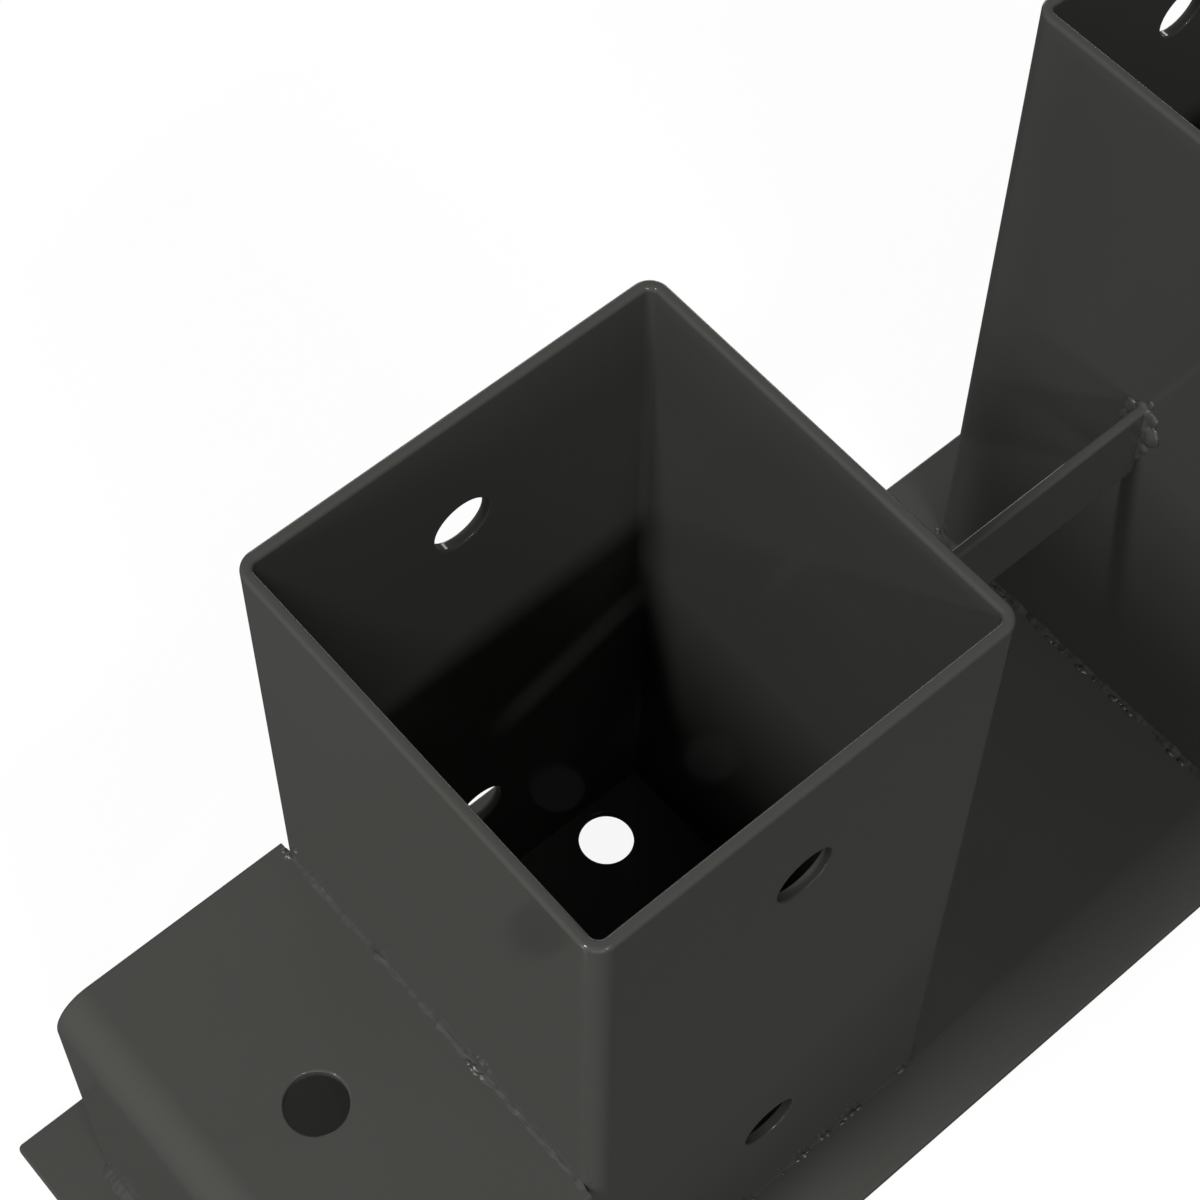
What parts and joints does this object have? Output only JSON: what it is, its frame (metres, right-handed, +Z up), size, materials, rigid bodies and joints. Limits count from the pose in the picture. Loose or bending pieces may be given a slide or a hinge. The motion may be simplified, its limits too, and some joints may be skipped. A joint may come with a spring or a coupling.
{
  "type": "log rack bracket",
  "caption": "Welded steel foot for a log rack: square sockets for upright posts on a flat plate, with folded brackets beside them that hold the base beams.",
  "frame": {"origin": "centre of the base plate's underside, at the bottom of the bounding box", "axes": "+X along the base plate from one socket to the other, +Y across it towards the side that the floor holes are nearer to, +Z up out of the open sockets"},
  "size_m": [0.4, 0.12, 0.182],
  "materials": {
    "paint": "semi-gloss anthracite coating",
    "weld_paint": "the same coating over the weld beads"
  },
  "bodies": {
    "root": {"base_plate": "paint", "socket_left": "paint", "socket_right": "paint", "beam_bracket_left": "paint", "beam_bracket_right": "paint", "tie_bar": "paint", "foot_weld_left": "weld_paint", "foot_weld_right": "weld_paint", "seam_weld_left": "weld_paint", "seam_weld_right": "weld_paint", "flange_weld_left": "weld_paint", "flange_weld_right": "weld_paint", "tie_weld_left": "weld_paint", "tie_weld_right": "weld_paint"}
  },
  "joints": []
}
